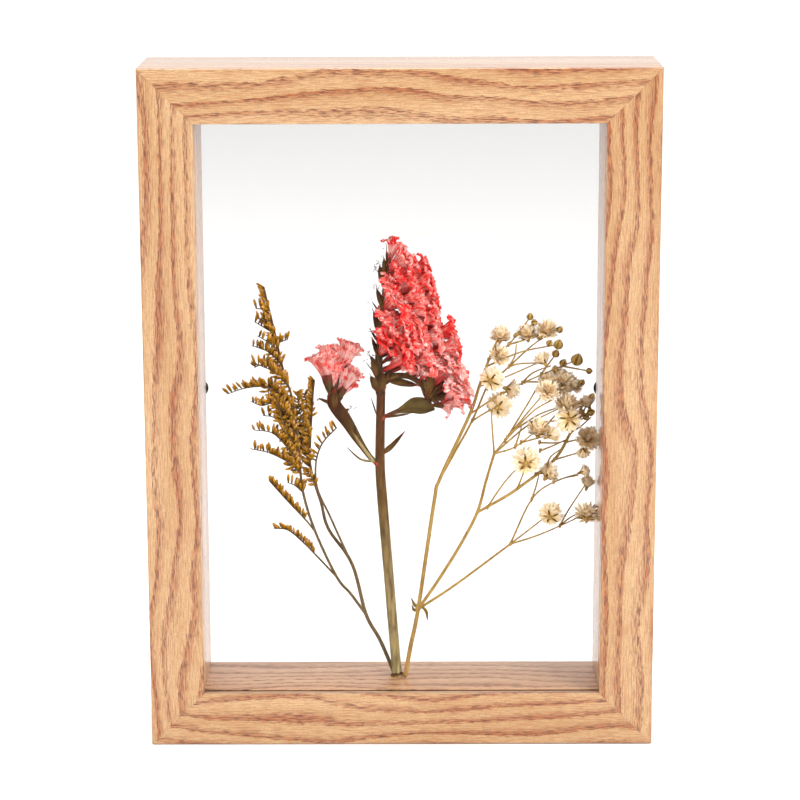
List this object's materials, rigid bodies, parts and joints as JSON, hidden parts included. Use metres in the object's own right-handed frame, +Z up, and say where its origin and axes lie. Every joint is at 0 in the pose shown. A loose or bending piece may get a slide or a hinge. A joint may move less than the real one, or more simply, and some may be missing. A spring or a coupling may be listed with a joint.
{
  "type": "pressed flower frame",
  "caption": "Small standing wooden box frame with glass on both faces and dried flower stems fixed between the panes.",
  "frame": {"origin": "middle of the frame's footprint on the surface that it stands on", "axes": "+Z is up, the front faces -Y, and +X is to the right seen from the front"},
  "size_m": [0.16, 0.039, 0.216],
  "materials": {
    "frame_wood": "pale open-grained wood, matt, grain along each rail",
    "lining_wood": "pale wood strip, matt",
    "pane_glass": "clear float glass with polished faces",
    "black_steel": "black, satin",
    "golden_spikelets": "dry golden-brown flower scales on thin wiry stems",
    "olive_stem": "dry olive-brown stem and leaf, matt",
    "coral_paper": "papery coral-pink flowers with pale streaks, matt",
    "straw_stem": "straw-coloured stems with cream double flowers, matt"
  },
  "bodies": {
    "frame": {"rail_top": "frame_wood", "rail_bottom": "frame_wood", "rail_left": "frame_wood", "rail_right": "frame_wood", "spacer_top": "lining_wood", "spacer_bottom": "lining_wood", "spacer_left": "lining_wood", "spacer_right": "lining_wood", "pane_front": "pane_glass", "pane_back": "pane_glass", "screw_left": "black_steel", "screw_right": "black_steel", "sea_lavender_main": "golden_spikelets", "sea_lavender_second": "golden_spikelets", "sea_lavender_left": "golden_spikelets", "sea_lavender_spray_low": "golden_spikelets", "sea_lavender_twig_low": "golden_spikelets", "statice_stem": "olive_stem", "statice_leaf": "olive_stem", "statice_side_branch": "coral_paper", "statice_flower_head": "coral_paper", "babys_breath_stem": "straw_stem", "babys_breath_upper": "straw_stem", "babys_breath_middle": "straw_stem", "babys_breath_right": "straw_stem", "babys_breath_low": "straw_stem"},
    "turn_button_left": {"turn_button_left": "black_steel"},
    "turn_button_right": {"turn_button_right": "black_steel"}
  },
  "joints": [
    {"name": "turn_button_left_pivot", "type": "hinge", "parent": "frame", "child": "turn_button_left", "pos_m": [-0.0735, 0.0182, 0.109], "axis": [0, 1, 0], "continuous": true},
    {"name": "turn_button_right_pivot", "type": "hinge", "parent": "frame", "child": "turn_button_right", "pos_m": [0.07342, 0.0182, 0.1077], "axis": [0, 1, 0], "continuous": true}
  ]
}
